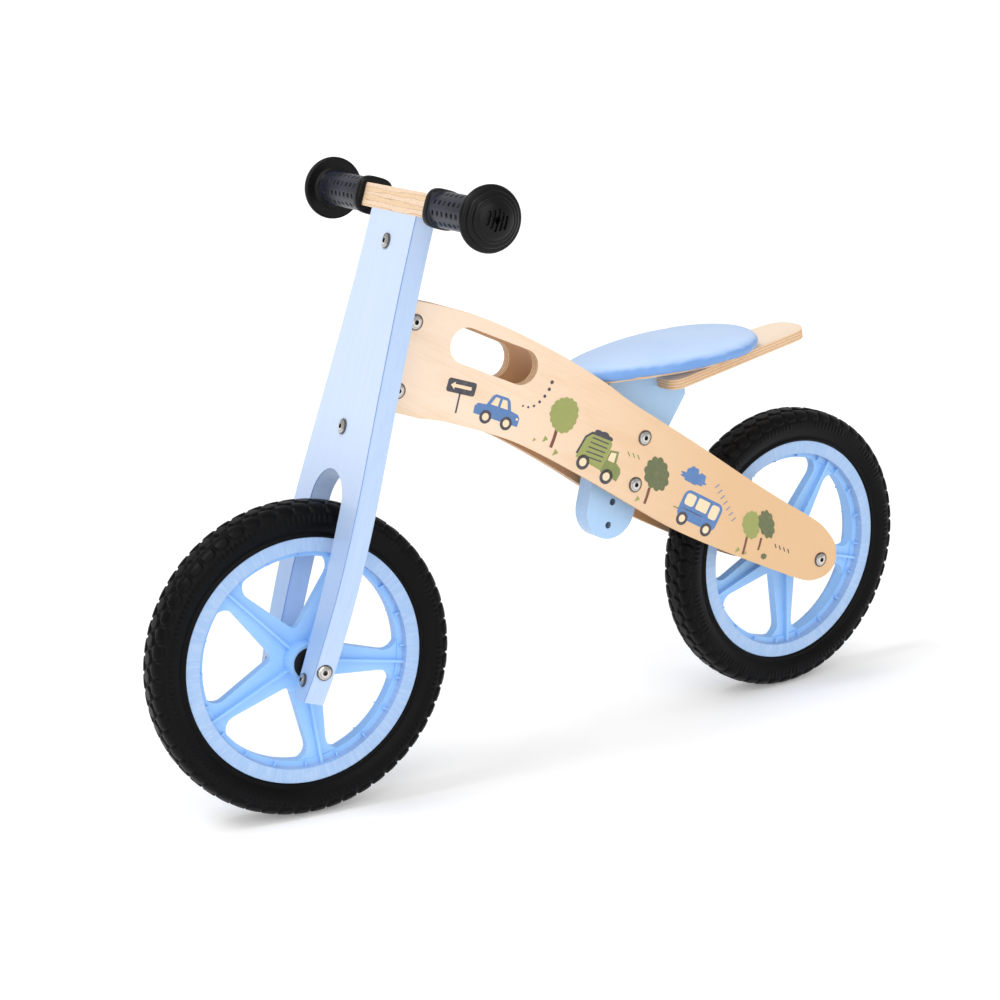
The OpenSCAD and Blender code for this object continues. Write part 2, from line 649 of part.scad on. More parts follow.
side_panel_left();
side_panel_right();
head_bracket();
head_bushes();
nose_bolts();
seat_post();
seat_spacers();
seat_bolts();
seat_base();
seat_pad();
seat_screws();
tail_board();
tail_dowel();
tail_screws();
rear_axle();
rear_axle_caps();
rear_spacers();
fork_board();
handlebar();
bar_screws();
grip_left();
grip_right();
grip_screws();
fork_bolts();
leg_bolts();
upper_knuckle();
lower_knuckle();
pivot_pins();
front_axle();
front_axle_caps();
front_spacers();
front_rim();
front_tyre();
front_bushes();
rear_rim();
rear_tyre();
rear_bushes();
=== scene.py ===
import json
import math
import bpy
from mathutils import Matrix, Vector


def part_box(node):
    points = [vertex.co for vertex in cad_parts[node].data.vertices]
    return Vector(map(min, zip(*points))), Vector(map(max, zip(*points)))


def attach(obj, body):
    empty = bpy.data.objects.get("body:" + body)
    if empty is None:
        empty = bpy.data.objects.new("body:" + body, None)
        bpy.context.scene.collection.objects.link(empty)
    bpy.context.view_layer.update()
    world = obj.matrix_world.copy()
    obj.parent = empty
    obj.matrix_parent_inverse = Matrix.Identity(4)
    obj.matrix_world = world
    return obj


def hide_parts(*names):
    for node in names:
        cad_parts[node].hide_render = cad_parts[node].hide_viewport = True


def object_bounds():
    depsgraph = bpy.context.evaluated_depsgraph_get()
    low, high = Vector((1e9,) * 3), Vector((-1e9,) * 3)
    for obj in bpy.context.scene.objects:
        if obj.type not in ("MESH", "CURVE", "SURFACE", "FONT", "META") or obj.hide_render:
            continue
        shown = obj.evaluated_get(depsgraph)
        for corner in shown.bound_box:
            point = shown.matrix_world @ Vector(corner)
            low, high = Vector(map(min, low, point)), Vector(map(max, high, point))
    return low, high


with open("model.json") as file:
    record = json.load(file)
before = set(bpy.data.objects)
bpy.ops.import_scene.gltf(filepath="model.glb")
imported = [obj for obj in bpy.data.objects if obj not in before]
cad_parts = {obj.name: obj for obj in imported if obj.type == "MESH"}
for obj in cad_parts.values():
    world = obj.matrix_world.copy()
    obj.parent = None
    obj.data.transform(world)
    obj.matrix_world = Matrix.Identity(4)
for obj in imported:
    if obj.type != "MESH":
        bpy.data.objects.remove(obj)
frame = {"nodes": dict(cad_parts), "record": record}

cadBox = [list(corner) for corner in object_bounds()]
record = frame["record"]
nodes = frame["nodes"]

camera = {"place": (1.4024, 1.8361, 0.8758), "yaw": -126.07, "pitch": -15.414, "roll": -0.499, "lens": 92.33}


def setCamera(c):
    yaw, pitch, roll = (math.radians(c[k]) for k in ("yaw", "pitch", "roll"))
    ahead = Vector((math.cos(pitch) * math.cos(yaw), math.cos(pitch) * math.sin(yaw), math.sin(pitch)))
    right = ahead.cross(Vector((0, 0, 1))).normalized()
    up = right.cross(ahead)
    right, up = (right * math.cos(roll) + up * math.sin(roll), up * math.cos(roll) - right * math.sin(roll))
    data = bpy.data.cameras.new("studioCamera")
    data.lens = c["lens"]
    data.sensor_width = 36
    data.clip_end = 50
    holder = bpy.data.objects.new("studioCamera", data)
    bpy.context.scene.collection.objects.link(holder)
    holder.matrix_world = Matrix((right, up, -ahead)).transposed().to_4x4()
    holder.matrix_world.translation = c["place"]
    bpy.context.scene.camera = holder


setCamera(camera)
bpy.context.scene.view_settings.view_transform = "Standard"
print("camera set")


def tint(red, green, blue):  # a colour as seen on a swatch, 0 to 255, turned into linear light
    parts = (v / 255 for v in (red, green, blue))
    return tuple(((v + 0.055) / 1.055) ** 2.4 if v > 10 / 255 else v / 12.92 for v in parts) + (1,)


class Wire:
    def __init__(self, finish, socket):
        self.finish, self.socket = finish, socket

    def calc(self, operation, *others):
        return self.finish.node("ShaderNodeMath", {"operation": operation}, dict(enumerate((self,) + others)))

    def before(self, operation, first):
        return self.finish.node("ShaderNodeMath", {"operation": operation}, {0: first, 1: self})

    def __add__(self, other):
        return self.calc("ADD", other)

    def __sub__(self, other):
        return self.calc("SUBTRACT", other)

    def __mul__(self, other):
        return self.calc("MULTIPLY", other)

    def __truediv__(self, other):
        return self.calc("DIVIDE", other)

    def __radd__(self, other):
        return self.before("ADD", other)

    def __rsub__(self, other):
        return self.before("SUBTRACT", other)

    def __rmul__(self, other):
        return self.before("MULTIPLY", other)

    def __abs__(self):
        return self.calc("ABSOLUTE")

    def step(self, low, high):  # 0 below low, 1 above high, smooth between; low may be the larger
        if low > high:
            return 1 - self.step(high, low)
        return self.finish.node("ShaderNodeMapRange", {"interpolation_type": "SMOOTHSTEP"},
                                {"Value": self, "From Min": low, "From Max": high})


socketNames = {"colour": "Base Color", "roughness": "Roughness", "metallic": "Metallic", "normal": "Normal",
               "coat": "Coat Weight", "coatRoughness": "Coat Roughness", "glow": "Emission Color",
               "sheen": "Sheen Weight", "specular": "Specular IOR Level"}


class Finish:
    def __init__(self, name):
        self.material = bpy.data.materials.new(name)
        self.material.use_nodes = True
        self.tree = self.material.node_tree
        self.shader = self.tree.nodes["Principled BSDF"]
        self.local = self.node("ShaderNodeTexCoord").part("Object")
        self.facing = Wire(self, self.local.socket.node.outputs["Normal"])

    def node(self, kind, settings={}, sockets={}):
        made = self.tree.nodes.new(kind)
        for key, value in settings.items():
            if key == "stops":
                ramp = made.color_ramp
                while len(ramp.elements) < len(value):
                    ramp.elements.new(1)
                for stop, (place, colour) in zip(ramp.elements, value):
                    stop.position, stop.color = place, colour
            else:
                setattr(made, key, value)
        for key, value in sockets.items():
            self.feed(made.inputs[key], value)
        wire = Wire(self, next(o for o in made.outputs if o.enabled))
        wire.part = lambda name: Wire(self, made.outputs[name])
        return wire

    def feed(self, socket, value):
        if isinstance(value, Wire):
            self.tree.links.new(value.socket, socket)
        else:
            socket.default_value = value

    def along(self, axis, start=(0, 0, 0), source=None):  # metres along an axis from a start point
        axis = Vector(axis)
        dot = self.node("ShaderNodeVectorMath", {"operation": "DOT_PRODUCT"},
                        {0: source or self.local, 1: tuple(axis)}).part("Value")
        shift = axis.dot(Vector(start))
        return dot - shift if abs(shift) > 1e-9 else dot

    def bundle(self, x, y, z):
        return self.node("ShaderNodeCombineXYZ", {}, {"X": x, "Y": y, "Z": z})

    def noise(self, scale, detail=3, rough=0.5, vector=None):
        return self.node("ShaderNodeTexNoise", {}, {"Vector": vector or self.local, "Scale": scale,
                                                    "Detail": detail, "Roughness": rough})

    def mix(self, amount, first, second, blend="MIX"):
        return self.node("ShaderNodeMix", {"data_type": "RGBA", "blend_type": blend},
                         {"Factor": amount, 6: first, 7: second})

    def bump(self, height, strength, distance=0.001):
        return self.node("ShaderNodeBump", {}, {"Height": height, "Strength": strength, "Distance": distance})

    def done(self, **sockets):
        for key, value in sockets.items():
            self.feed(self.shader.inputs[socketNames[key]], value)
        return self.material


def nodeMix(finish, amount, first, second):
    made = finish.mix(amount, first, second)
    return Wire(finish, made.socket.node.outputs[2])


# Frames of the moving parts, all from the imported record
joints = {j["name"]: j for j in record["behaviour"]["joints"]}
forkUp = Vector(joints["steering"]["axis"]).normalized()
barWay = Vector(joints["front_wheel_spin"]["axis"]).normalized()
forkAhead = barWay.cross(forkUp).normalized()
frontHub = Vector(joints["front_wheel_spin"]["pos_m"])
rearHub = Vector(joints["rear_wheel_spin"]["pos_m"])


def forkPoint(side, up):  # metres from the front hub along the fork's own axes
    return frontHub + barWay * side + forkUp * up


panel = {"splay": 5.75, "thick": 0.009, "grain": 29.5}
panelLow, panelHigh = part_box("side_panel_left")
splay = math.radians(panel["splay"])
panelOut = Vector((math.sin(splay), math.cos(splay), 0))
panelEdge = Vector((panelLow[0] + panel["thick"] * math.sin(splay), panelHigh[1], 0))


def panelSpot(x, z, lift, side=1):  # a point on the outer face of a side panel, lifted off it
    y = panelEdge.y - (x - panelEdge.x) * math.tan(splay)
    spot = Vector((x, y, z)) + panelOut * lift
    return Vector((spot.x, spot.y * side, spot.z))


def paint(names, material):
    for name in names if isinstance(names, (list, tuple)) else [names]:
        for holder in nodes[name].material_slots:
            holder.link = "OBJECT"
            holder.material = material
        if not nodes[name].material_slots:
            nodes[name].data.materials.append(material)


def plyWood(name, out, start, thick, plies, grainWay, light, deep, edgeDark, wander=0.0, lines=0.6,
            paintedShade=None):
    f = Finish(name)
    across = Vector(out).cross(Vector(grainWay)).normalized()
    grain, side, depth = f.along(grainWay), f.along(across), f.along(out, start)
    fibres = f.noise(1, 4, 0.6, f.bundle(grain * 14, side * 420, depth * 420))
    figure = f.noise(1, 3, 0.55, f.bundle(grain * 9, side * 34, depth * 34))
    flecks = f.noise(1, 2, 0.5, f.bundle(grain * 160, side * 900, depth * 500)).step(0.62, 0.74)
    body = f.node("ShaderNodeValToRGB", {"stops": [(0.3, deep), (0.55, light), (0.8, light)]},
                  {"Fac": figure * 0.75 + fibres * 0.3})
    body = nodeMix(f, flecks * 0.16, body, tint(196, 152, 104))
    if paintedShade:
        way, near, far, rearShade, innerShade = paintedShade
        # painted shade: the wood darkens towards the rear of the panel
        body = nodeMix(f, f.along(way).step(near, far) * 0.85, body, rearShade)
        # painted shade: faces turned inward take a deeper brown
        body = nodeMix(f, f.along(out, source=f.facing).step(-0.5, -0.9) * 0.85, body, innerShade)
    onEdge = abs(f.along(out, source=f.facing)).step(0.75, 0.45)
    layer = depth * (plies / thick)
    if wander:
        layer = layer + f.noise(1, 2, 0.5, f.bundle(grain * 16, side * 40, depth * 220)) * wander
    glue = abs(layer.calc("FRACT") - 0.5).step(0.40, 0.49)
    odd = (layer * 0.5).calc("FRACT").step(0.49, 0.51)
    ends = f.noise(1, 3, 0.7, f.bundle(grain * 500, side * 500, depth * 1400))
    edge = nodeMix(f, odd * 0.8, tint(236, 206, 170), edgeDark)
    edge = nodeMix(f, ends.step(0.42, 0.7) * 0.35, edge, tint(168, 116, 72))
    edge = nodeMix(f, glue * lines, edge, tint(120, 78, 48))
    colour = nodeMix(f, onEdge, body, edge)
    relief = fibres * (1 - onEdge) * 0.25 + onEdge * (ends * 0.7 - glue * 0.6)
    return f.done(colour=colour, roughness=0.42 + fibres * 0.12 + onEdge * 0.2, coatRoughness=0.25,
                  normal=f.bump(relief, 0.25, 0.0004), coat=0.25 * (1 - onEdge))


birchLight, birchDeep = tint(244, 219, 194), tint(234, 202, 168)
# painted shade: a darker brown towards the rear of each panel and on its inward-facing faces
panelShade = ((1, 0, 0), 0.16, -0.22, tint(216, 173, 122), tint(190, 138, 88))
grainWay = Vector((math.cos(math.radians(panel["grain"])), 0, math.sin(math.radians(panel["grain"]))))
woodLeft = plyWood("birchPanelLeft", panelOut, panelEdge, panel["thick"], 7, grainWay, birchLight, birchDeep,
                   tint(196, 150, 108), paintedShade=panelShade)
mirrorOut = Vector((panelOut.x, -panelOut.y, 0))
woodRight = plyWood("birchPanelRight", mirrorOut, Vector((panelEdge.x, -panelEdge.y, 0)), panel["thick"], 7,
                    grainWay, birchLight, birchDeep, tint(196, 150, 108), paintedShade=panelShade)
paint("side_panel_left", woodLeft)
paint("side_panel_right", woodRight)

barLow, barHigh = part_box("handlebar")
barMiddle = (Vector(barLow) + Vector(barHigh)) / 2
bar = {"side": 0.021, "plies": 5}
woodBar = plyWood("birchBar", forkUp, barMiddle - forkUp * bar["side"] / 2, bar["side"], bar["plies"], barWay,
                  tint(252, 238, 222), tint(248, 228, 204), tint(242, 216, 190), 1.6, 0.4)
paint("handlebar", woodBar)

tail = {"tilt": 8.5, "thick": 0.0095}
tailTilt = math.radians(tail["tilt"])
tailUp = Vector((math.sin(tailTilt), 0, math.cos(tailTilt)))
tailLow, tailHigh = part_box("tail_board")
tailMiddle = (Vector(tailLow) + Vector(tailHigh)) / 2
woodTail = plyWood("birchTail", tailUp, tailMiddle - tailUp * tail["thick"] / 2, tail["thick"], 7,
                   Vector((math.cos(tailTilt), 0, -math.sin(tailTilt))), tint(248, 226, 202), tint(238, 208, 174),
                   tint(212, 170, 128))
paint(["tail_board", "seat_base", "tail_dowel"], woodTail)
print("wood done")


def bluePaint(name, faceWay, grainWay, face, edge, far=None, low=None, holes=None):
    f = Finish(name)
    across = Vector(faceWay).cross(Vector(grainWay)).normalized()
    grain, side, depth = f.along(grainWay), f.along(across), f.along(faceWay)
    strokes = f.noise(1, 4, 0.6, f.bundle(grain * 10, side * 380, depth * 380))
    cloud = f.noise(7, 3, 0.5)
    onEdge = abs(f.along(faceWay, source=f.facing)).step(0.8, 0.5)
    # faces across the board take the edge colour; for the fork this darker blue is painted shade on its sides
    colour = nodeMix(f, onEdge, face, edge)
    colour = nodeMix(f, strokes.step(0.45, 0.75) * (0.10 + onEdge * 0.12), colour, tint(128, 172, 224))
    colour = nodeMix(f, cloud.step(0.5, 0.8) * 0.12, colour, tint(214, 230, 250))
    if low:
        start, high, foot, thick = low
        shaded = f.along(grainWay, start).step(high, foot) * (1 - onEdge)
        colour = nodeMix(f, shaded * 0.75, colour, tint(134, 170, 216))
        # painted shade: a dark blue line along the corners beside the front face
        rim = f.along(faceWay, start).step(thick / 2 - 0.0014, thick / 2 - 0.0006) * onEdge
        colour = nodeMix(f, rim * 0.75, colour, tint(84, 130, 196))
    if far:
        toward, highlightColour = far
        # painted highlight: faces turned towards 'toward' take a lighter colour
        colour = nodeMix(f, f.along(toward, source=f.facing).step(0.55, 0.85) * 0.75, colour, highlightColour)
    if holes:
        # painted shade inside the holes
        holeShade = spread(f, holes, (1, 0, 0), (0, 0, 1)).step(0.0036, 0.0031)
        colour = nodeMix(f, holeShade * 0.85, colour, tint(46, 40, 38))
    skin = f.noise(260, 2, 0.5)
    return f.done(colour=colour, roughness=0.34 + strokes * 0.10, coat=0.2, coatRoughness=0.2,
                  normal=f.bump(strokes * (0.35 + onEdge * 0.5) + skin * 0.2, 0.22, 0.0004))


# the fork's edge blue is darker than its face blue: painted shade on the sides
paint("fork_board", bluePaint("bluePaintFork", forkAhead, forkUp, tint(204, 220, 247), tint(182, 204, 236),
                              low=(frontHub, 0.24, 0.03, 0.019)))
def wheelPlastic(name, hub, axle, zero, upright):
    f = Finish(name)
    u, v, w = f.along(zero, hub), f.along(upright, hub), f.along(axle, hub)
    radius = (u * u + v * v).calc("SQRT")
    angle = v.calc("ARCTAN2", u)
    flange = radius.step(0.0965, 0.0985)
    streaks = f.noise(1, 4, 0.65, f.bundle(angle * 46, radius * 60, w * 30))
    fine = f.noise(1, 2, 0.5, f.bundle(angle * 130, radius * 40, w * 30))
    drift = f.noise(30, 3, 0.5)
    base = nodeMix(f, drift.step(0.35, 0.75) * 0.35, tint(150, 198, 248), tint(168, 209, 251))
    pale = nodeMix(f, streaks.step(0.4, 0.72), tint(157, 188, 228), tint(176, 200, 232))
    pale = nodeMix(f, fine.step(0.6, 0.72) * 0.25, pale, tint(136, 184, 238))
    colour = nodeMix(f, flange, base, pale)
    orange = f.noise(420, 2, 0.5)
    relief = flange * (streaks * 0.8 + fine * 0.5) + orange * 0.15 + drift * 0.3
    return f.done(colour=colour, roughness=0.36 + flange * 0.12 + drift * 0.1, normal=f.bump(relief, 0.35, 0.0006))


paint("front_rim", wheelPlastic("rimPlasticFront", frontHub, barWay, forkAhead, forkUp))
paint("rear_rim", wheelPlastic("rimPlasticRear", rearHub, (0, 1, 0), (1, 0, 0), (0, 0, 1)))


def metal(name, colour, rough):
    f = Finish(name)
    grime = f.noise(160, 4, 0.6)
    fine = f.noise(1800, 2, 0.5)
    shade = nodeMix(f, grime.step(0.45, 0.8) * 0.4, colour, tint(96, 95, 98))
    return f.done(colour=shade, metallic=1.0, roughness=rough + grime * 0.16,
                  normal=f.bump(fine * 0.4 + grime, 0.08, 0.0003))



def spread(f, spots, first, second):  # distance from the nearest of several straight axes
    near = None
    for spot in spots:
        a, b = f.along(first, spot), f.along(second, spot)
        apart = (a * a + b * b).calc("SQRT")
        near = near.calc("MINIMUM", apart) if near else apart
    return near


def boltFinish(name, spots, first, second, radius):
    f = Finish(name)
    grime, fine = f.noise(160, 4, 0.6), f.noise(1800, 2, 0.5)
    near = spread(f, spots, first, second) * (1 / radius)
    # painted shade: the outer ring, the groove and the socket of each head are darkened
    headRimShade = near.step(0.78, 0.90) * 0.8
    grooveShade = near.step(0.52, 0.58) * near.step(0.80, 0.74) * 0.3
    hole = near.step(0.36, 0.28) * 0.95
    shade = nodeMix(f, grime.step(0.45, 0.8) * 0.3, tint(216, 212, 208), tint(132, 128, 126))
    shade = nodeMix(f, headRimShade.calc("MAXIMUM", grooveShade).calc("MAXIMUM", hole), shade, tint(38, 34, 34))
    return f.done(colour=shade, metallic=1.0, roughness=0.12 + grime * 0.14,
                  normal=f.bump(fine * 0.4 + grime, 0.08, 0.0003))


post = {"lean": math.radians(13.4), "holes": 5, "pitch": 0.0225}
postAxis = Vector((-math.sin(post["lean"]), 0, math.cos(post["lean"])))
postRear = Vector((-postAxis.z, 0, postAxis.x))
lowHole = Vector(record["mounts"][0]["pos_m"])
postHoles = [lowHole + postAxis * post["pitch"] * k for k in range(post["holes"])]
bolts = {"head": 0.007, "leg": 0.006, "noseBack": 0.028, "nose": (0.249, 0.311), "fork": (0.208, 0.374),
         "legPlace": (0.039, -0.012)}
headWay = Vector((forkUp.z, 0, -forkUp.x))
headRoot = Vector((-rearHub.x, 0, rearHub.z))
noseBolts = [headRoot - headWay * bolts["noseBack"] + forkUp * s for s in bolts["nose"]]
legSide, legUp = bolts["legPlace"]
level, upright = Vector((1, 0, 0)), Vector((0, 0, 1))
# the post: painted highlight on its rear-facing faces, painted shade inside its holes
paint("seat_post", bluePaint("bluePaintPost", (0, 1, 0), postAxis, tint(170, 206, 242), tint(172, 204, 240),
                             far=(postRear, tint(206, 204, 236)), holes=postHoles))
paint(["nose_bolts", "seat_bolts", "rear_axle_caps"],
      boltFinish("boltPanel", noseBolts + postHoles[2::2] + [rearHub], level, upright, bolts["head"]))
paint("fork_bolts", boltFinish("boltFork", [forkPoint(0, s) for s in bolts["fork"]], barWay, forkUp,
                               bolts["head"]))
paint("leg_bolts", boltFinish("boltLeg", [forkPoint(side, legUp) for side in (-legSide, legSide)], barWay, forkUp,
                              bolts["leg"]))
paint("front_axle_caps", boltFinish("boltFrontAxle", [frontHub], forkAhead, forkUp, bolts["head"]))
paint(["grip_screws", "seat_screws", "tail_screws", "bar_screws"], metal("screwSteel", tint(200, 198, 196), 0.16))
paint(["head_bracket", "upper_knuckle", "lower_knuckle", "pivot_pins", "front_axle", "rear_axle"],
      metal("platedSteel", tint(176, 178, 182), 0.30))


def blackPlastic(name, colour, rough, grainScale, gloss, worn=tint(13, 13, 17)):
    f = Finish(name)
    grain = f.noise(grainScale, 3, 0.6)
    wear = f.noise(40, 3, 0.5)
    shade = nodeMix(f, wear.step(0.4, 0.8) * 0.5, colour, worn)
    return f.done(colour=shade, roughness=rough + wear * 0.14, normal=f.bump(grain, 0.16, 0.0003), specular=gloss)


nylon = blackPlastic("blackNylon", tint(16, 16, 19), 0.4, 900, 0.4)
paint(["head_bushes", "front_bushes", "rear_bushes", "front_spacers", "rear_spacers", "seat_spacers"], nylon)
tyreFoam = blackPlastic("tyreFoam", tint(3, 3, 4), 0.34, 1100, 0.11, tint(8, 8, 11))


def gripFinish():
    f = Finish("gripRubber")
    grain = f.noise(1300, 3, 0.6)
    wear = f.noise(50, 3, 0.5)
    u, v, reach = f.along(forkAhead, barMiddle), f.along(forkUp, barMiddle), abs(f.along(barWay, barMiddle))
    radius = (u * u + v * v).calc("SQRT")
    barrelSheen = reach.step(0.1535, 0.1525) * reach.step(0.0745, 0.0755)
    # painted sheen: the barrel takes a lighter blue-grey than the black disc, varied by the wear noise
    colour = nodeMix(f, barrelSheen, tint(4, 4, 5), nodeMix(f, wear.step(0.3, 0.7), tint(30, 32, 42), tint(44, 47, 60)))
    # painted shade: the pits in the barrel are black
    colour = nodeMix(f, radius.step(0.0152, 0.0146) * barrelSheen, colour, tint(0, 0, 0))
    return f.done(colour=colour, roughness=0.28 + wear * 0.1, normal=f.bump(grain, 0.12, 0.0003), specular=0.22)


gripRubber = gripFinish()
print("plain finishes done")


def newPiece(name, points, faces, material, body, sharp=None):
    mesh = bpy.data.meshes.new(name)
    mesh.from_pydata([tuple(p) for p in points], [], faces)
    mesh.polygons.foreach_set("use_smooth", [True] * len(mesh.polygons))
    if sharp:
        mesh.set_sharp_from_angle(angle=math.radians(sharp))
    mesh.materials.append(material)
    piece = bpy.data.objects.new(name, mesh)
    bpy.context.scene.collection.objects.link(piece)
    if body:
        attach(piece, body)
    return piece


def gridFaces(rows, columns, closeRows=True, closeColumns=False):
    faces = []
    for i in range(rows if closeRows else rows - 1):
        for j in range(columns if closeColumns else columns - 1):
            a, b = i * columns + j, i * columns + (j + 1) % columns
            c, d = (i + 1) % rows * columns + (j + 1) % columns, (i + 1) % rows * columns + j
            faces.append((a, b, c, d))
    return faces


def smooth(value, low, high):
    t = min(1, max(0, (value - low) / (high - low)))
    return t * t * (3 - 2 * t)


def refine(points, spacing):  # even steps along a smooth curve through the points
    fine = []
    for i in range(len(points) - 1):
        a, b, c, d = points[max(i - 1, 0)], points[i], points[i + 1], points[min(i + 2, len(points) - 1)]
        count = max(1, round(math.dist(b, c) / spacing))
        for k in range(count):
            t = k / count
            fine.append(tuple(0.5 * (2 * q + (r - p) * t + (2 * p - 5 * q + 4 * r - s) * t * t
                                     + (3 * q - p - 3 * r + s) * t ** 3) for p, q, r, s in zip(a, b, c, d)))
    return fine + [points[-1]]


tyre = {"around": 990, "pitches": 55, "step": 0.9,
        "half": [(105.5, 11.2), (110.9, 11.4), (111.3, 14.8), (112.4, 16.0), (113.8, 16.1), (114.6, 15.2),
                 (116.2, 15.2), (118.5, 16.6), (123, 18.2), (128, 18.7), (132.5, 17.9), (136.3, 15.4),
                 (138.8, 11.4), (139.9, 6), (140.1, 0)],
        "block": 1.75, "pillow": 1.5, "dash": 0.55}


def makeTyre(name, replaced, body, hub, axle, zero, upright, turn):
    section = refine(tyre["half"], tyre["step"])
    section = section + [(r, -y) for r, y in section[-2::-1]]
    middle = (len(section) - 1) // 2
    lengths = [0.0]
    for a, b in zip(section, section[1:]):
        lengths.append(lengths[-1] + math.dist(a, b))
    normals = []
    for k in range(len(section)):
        a, b = section[max(k - 1, 0)], section[min(k + 1, len(section) - 1)]
        n = Vector((a[1] - b[1], b[0] - a[0]))
        normals.append(n.normalized())
    pitch = 2 * math.pi / tyre["pitches"]
    points = []
    for i in range(tyre["around"]):
        phi = 2 * math.pi * i / tyre["around"]
        ray = zero * math.cos(phi + turn) + upright * math.sin(phi + turn)
        inRow = (phi / pitch) % 1 - 0.5
        offRow = (phi / pitch + 0.5) % 1 - 0.5
        dashes = (phi / pitch * 3) % 1 - 0.5
        group = (phi / pitch * 0.2) % 1
        for k, (r, y) in enumerate(section):
            s = lengths[k] - lengths[middle]
            u, v = inRow * pitch * 140, abs(s)
            hexagon = max(abs(s) * 1.0, abs(s) * 0.5 + abs(u) * 0.866)
            h = tyre["block"] * (1 - smooth(hexagon, 5.6, 6.7))
            u = offRow * pitch * 138
            pillow = (abs(u / 7.5) ** 3 + abs((v - 13.6) / 6.9) ** 3) ** (1 / 3)
            h += tyre["pillow"] * (1 - smooth(pillow, 0.80, 1.0)) + 0.35 * max(0, 1 - pillow)
            if 21.5 < v < 31:
                band = smooth(v, 21.8, 22.8) * (1 - smooth(v, 27.6, 28.6)) * (1 if group < 0.62 else 0.25)
                h += tyre["dash"] * band * (1 - smooth(abs(dashes) * 5.2, 1.0, 1.7))
            n = normals[k]
            points.append(hub + ray * ((r + h * abs(n[0]) if v < 25 else r + h * n[0]) / 1000)
                          + axle * ((y + h * n[1] * (1 if n[1] * y > 0 else -1)) / 1000))
    faces = gridFaces(tyre["around"], len(section), True, True)
    piece = newPiece(name, points, faces, tyreFoam, body)
    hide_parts(replaced)


makeTyre("frontTreadTyre", "front_tyre", "front_wheel", frontHub, barWay, forkAhead, forkUp, 0.03)
makeTyre("rearTreadTyre", "rear_tyre", "rear_wheel", rearHub, Vector((0, 1, 0)), Vector((1, 0, 0)),
         Vector((0, 0, 1)), 0.05)
print("tyres done")

grip = {"around": 240, "rows": 10, "pitRow": 8, "pitStep": 8.8, "pitFrom": 82.0,
        "profile": [(74.6, 14.6), (75.2, 15.7), (152, 15.7), (154, 16.6), (155.2, 19), (155.4, 27.2),
                    (156.2, 28.4), (157.8, 28.5), (159.4, 28.0), (160.4, 26.8), (160.7, 24.9), (161.0, 24.1),
                    (162.9, 23.9), (163.9, 22.9), (164.2, 20.6), (164.5, 19.9), (166.2, 19.7), (167.1, 18.8),
                    (167.3, 16.9), (168.6, 15.4), (170.0, 12.2), (171.0, 8.5), (171.5, 4.6), (171.6, 2.9),
                    (170.8, 2.3), (165, 2.2), (165, 0.3)],
        "collar": [(75.6, 14.0, 2.6), (75.4, 15.6, 2.8), (74.4, 16.7, 3), (71, 17.2, 3.2), (67.8, 17.1, 3.2),
                   (66.4, 16.4, 3.2), (66.0, 15.2, 3.6), (66.0, 11.8, 8), (66.6, 10.9, 9), (70, 10.7, 9)]}


def makeGrip(name, replaced, side):
    profile = []
    for a, b in zip(grip["profile"], grip["profile"][1:]):
        count = max(1, math.ceil(math.dist(a, b) / (0.6 if b[0] < 155 or b[1] < 16 else 1.5)))
        profile += [(a[0] + (b[0] - a[0]) * k / count, a[1] + (b[1] - a[1]) * k / count) for k in range(count)]
    profile.append(grip["profile"][-1])
    points = []
    for i in range(grip["around"]):
        theta = 2 * math.pi * i / grip["around"]
        row = (theta / (2 * math.pi) * grip["rows"]) % 1 - 0.5
        for a, r in profile:
            sink, dip = 0.0, 0.0
            if 76 < a < 152 and r > 15:
                place = (a - grip["pitFrom"]) / grip["pitStep"]
                if -0.5 < place < grip["pitRow"] - 0.5:
                    along = abs(place - round(place)) * grip["pitStep"]
                    round_ = abs(row) * 2 * math.pi * 15.7 / grip["rows"]
                    sink = 2.1 * (1 - smooth(along, 1.3, 1.9)) * (1 - smooth(round_, 1.6, 2.2))
            if a > 168.5 and r < 15.2:
                x, z = r * math.cos(theta), r * math.sin(theta)
                slot = min(2, abs(round(x / 4.0)))
                reach = 9.6 - slot * 1.7
                dip = 1.9 * (1 - smooth(abs(abs(x) - slot * 4.0), 0.7, 1.3))
                dip *= 1 - smooth(abs(z), reach - 1, reach)
            ray = forkAhead * math.cos(theta) + forkUp * math.sin(theta)
            points.append(barMiddle + barWay * side * (a - dip) / 1000 + ray * (r - sink) / 1000)
    faces = gridFaces(grip["around"], len(profile))
    start = len(points)
    stations = refine(grip["collar"], 1.2)
    for i in range(120):
        theta = 2 * math.pi * i / 120
        ray = forkAhead * math.cos(theta) + forkUp * math.sin(theta)
        for a, half, power in stations:
            r = half / (abs(math.cos(theta)) ** power + abs(math.sin(theta)) ** power) ** (1 / power)
            points.append(barMiddle + barWay * side * a / 1000 + ray * r / 1000)
    faces += [tuple(start + k for k in f) for f in gridFaces(120, len(stations))]
    if side > 0:
        faces = [f[::-1] for f in faces]
    piece = newPiece(name, points, faces, gripRubber, "fork", 50)
    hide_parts(replaced)


makeGrip("leftGripRubber", "grip_left", 1)
makeGrip("rightGripRubber", "grip_right", -1)
print("grips done")

seat = {"tilt": 3.5, "length": 0.230, "width": 0.115, "taper": 0.28, "shift": -0.005, "base": 0.006,
        "thick": 0.0175, "voxel": 0.0045, "pressure": 4.0, "cap": 0.0035, "frames": 20}
seatTilt = math.radians(seat["tilt"])
seatWay = Vector((math.cos(seatTilt), 0, -math.sin(seatTilt)))
seatUp = Vector((math.sin(seatTilt), 0, math.cos(seatTilt)))
baseLow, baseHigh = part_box("seat_base")
seatPlace = (Vector(baseLow) + Vector(baseHigh)) / 2 - seatWay * seat["shift"] - seatUp * seat["base"] / 2


def seatPoint(x, y, z):
    return seatPlace + seatWay * x + Vector((0, y, 0)) + seatUp * z


